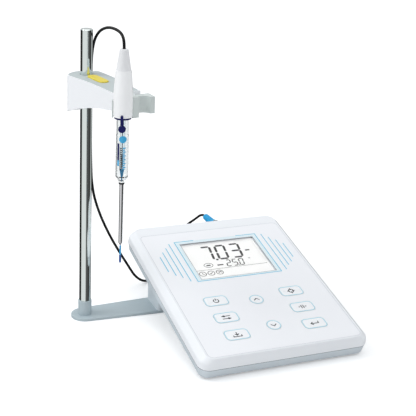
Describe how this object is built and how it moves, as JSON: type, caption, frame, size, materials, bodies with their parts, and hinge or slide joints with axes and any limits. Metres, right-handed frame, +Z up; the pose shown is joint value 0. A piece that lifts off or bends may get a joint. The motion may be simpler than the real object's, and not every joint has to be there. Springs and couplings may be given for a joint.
{
  "type": "benchtop ph meter",
  "caption": "Benchtop pH meter: tilted keypad case with display, base plate and pole with sliding swivel arm, clip-held electrode and coiled lead to a bayonet plug.",
  "frame": {"origin": "centre of the object's footprint on the bench, without the lead and its plug", "axes": "+X to the user's right, +Y away from the user, +Z up along the pole"},
  "size_m": [0.2874, 0.3424, 0.3456],
  "materials": {
    "case_white": "fine matt texture",
    "panel_print": "printed film, satin",
    "window_clear": "clear acrylic",
    "lcd_glass": "display glass",
    "white_plastic": "matt",
    "board_green": "solder mask",
    "chip_black": "matt",
    "dome_steel": "stamped",
    "key_print": "printed film, satin",
    "dark_panel": "matt",
    "nickel": "nickel plated",
    "jack_black": "matt",
    "screw_steel": "zinc plated",
    "foot_rubber": "matt",
    "plate_paint": "powder coat, light grey-blue",
    "pole_chrome": "polished",
    "arm_white": "satin",
    "arm_grey": "satin",
    "bush_nylon": "natural nylon",
    "button_yellow": "satin",
    "jaw_steel": "ground",
    "spring_steel": "blued strip",
    "clip_grey": "satin",
    "cap_white": "moulded",
    "boot_white": "soft moulded",
    "navy_rubber": "soft moulded",
    "glass_clear": "clear",
    "silver_wire": "silver",
    "junction_blue": "moulded",
    "stem_grey": "ground glass",
    "tip_blue": "sensing glass",
    "lead_black": "satin jacket",
    "tie_white": "coated wire",
    "bnc_metal": "nickel plated",
    "boot_blue": "soft moulded"
  },
  "bodies": {
    "root": {"upper_case": "case_white", "lower_case": "case_white", "front_panel": "panel_print", "display_window": "window_clear", "lcd_module": "lcd_glass", "backlight": "white_plastic", "lcd_frame": "white_plastic", "main_board": "board_green", "board_parts": "chip_black", "key_domes": "dome_steel", "case_screws": "screw_steel", "rear_panel": "dark_panel", "bnc_socket": "nickel", "power_jack": "jack_black", "temperature_jack": "jack_black", "reference_jack": "jack_black", "support_foot": "case_white", "rubber_feet": "foot_rubber", "base_plate": "plate_paint", "stand_screws": "screw_steel", "pole": "pole_chrome", "pole_collar": "plate_paint", "lead_lower": "lead_black", "lead_coil": "lead_black", "coil_tie": "tie_white", "lead_tail": "lead_black", "bnc_plug_body": "bnc_metal", "bnc_boot": "boot_blue"},
    "carriage": {"lower_bush": "bush_nylon", "upper_bush": "bush_nylon", "lead_upper": "lead_black"},
    "arm": {"arm_shell": "arm_white", "arm_top_cover": "arm_grey", "arm_screws": "screw_steel", "button_spring": "spring_steel", "jaw_spring": "spring_steel", "clip_head": "clip_grey", "electrode_cap": "cap_white", "electrode_boot": "boot_white", "outer_glass": "glass_clear", "junction_cone": "junction_blue", "inner_glass": "glass_clear", "reference_element": "silver_wire", "fill_ring": "navy_rubber", "fill_plug": "navy_rubber", "electrode_stem": "stem_grey", "tip_neck": "junction_blue", "sensing_tip": "tip_blue"},
    "release_button": {"release_button": "button_yellow"},
    "lock_jaw": {"lock_jaw": "jaw_steel"},
    "bnc_collar": {"bnc_collar": "bnc_metal"},
    "key_power": {"key_power": "key_print"},
    "key_mode": {"key_mode": "key_print"},
    "key_memory": {"key_memory": "key_print"},
    "key_up": {"key_up": "key_print"},
    "key_down": {"key_down": "key_print"},
    "key_cal": {"key_cal": "key_print"},
    "key_hold": {"key_hold": "key_print"},
    "key_enter": {"key_enter": "key_print"}
  },
  "joints": [
    {"name": "arm_height", "type": "slide", "parent": "root", "child": "carriage", "axis": [0, 0, 1], "range_m": [-0.09, 0.04], "deforming": ["lead_lower"]},
    {"name": "arm_swivel", "type": "hinge", "parent": "carriage", "child": "arm", "pos_m": [-0.12298, 0.05675, 0.26], "axis": [0, 0, 1], "range_deg": [-90, 40], "deforming": ["lead_upper"]},
    {"name": "release_press", "type": "slide", "parent": "arm", "child": "release_button", "axis": [0, 0, -1], "range_m": [0, 0.003], "stiffness_N_per_m": 900, "springref_m": -0.001, "deforming": ["button_spring"]},
    {"name": "jaw_release", "type": "slide", "parent": "arm", "child": "lock_jaw", "axis": [0.2079, -0.9781, 0], "range_m": [0, 0.0015], "deforming": ["jaw_spring"]},
    {"name": "bayonet_turn", "type": "hinge", "parent": "root", "child": "bnc_collar", "pos_m": [0.06972, 0.12975, 0.06021], "axis": [0, 1, 0], "range_deg": [0, 90]},
    {"name": "key_power_press", "type": "slide", "parent": "root", "child": "key_power", "axis": [0, 0.1994, -0.9799], "range_m": [0, 0.0006], "stiffness_N_per_m": 1500, "springref_m": -0.0003},
    {"name": "key_mode_press", "type": "slide", "parent": "root", "child": "key_mode", "axis": [0, 0.1994, -0.9799], "range_m": [0, 0.0006], "stiffness_N_per_m": 1500, "springref_m": -0.0003},
    {"name": "key_memory_press", "type": "slide", "parent": "root", "child": "key_memory", "axis": [0, 0.1994, -0.9799], "range_m": [0, 0.0006], "stiffness_N_per_m": 1500, "springref_m": -0.0003},
    {"name": "key_up_press", "type": "slide", "parent": "root", "child": "key_up", "axis": [0, 0.1994, -0.9799], "range_m": [0, 0.0006], "stiffness_N_per_m": 1500, "springref_m": -0.0003},
    {"name": "key_down_press", "type": "slide", "parent": "root", "child": "key_down", "axis": [0, 0.1994, -0.9799], "range_m": [0, 0.0006], "stiffness_N_per_m": 1500, "springref_m": -0.0003},
    {"name": "key_cal_press", "type": "slide", "parent": "root", "child": "key_cal", "axis": [0, 0.1994, -0.9799], "range_m": [0, 0.0006], "stiffness_N_per_m": 1500, "springref_m": -0.0003},
    {"name": "key_hold_press", "type": "slide", "parent": "root", "child": "key_hold", "axis": [0, 0.1994, -0.9799], "range_m": [0, 0.0006], "stiffness_N_per_m": 1500, "springref_m": -0.0003},
    {"name": "key_enter_press", "type": "slide", "parent": "root", "child": "key_enter", "axis": [0, 0.1994, -0.9799], "range_m": [0, 0.0006], "stiffness_N_per_m": 1500, "springref_m": -0.0003}
  ],
  "couplings": [
    {"joint": "jaw_release", "follows": "release_press", "ratio": 0.5}
  ]
}
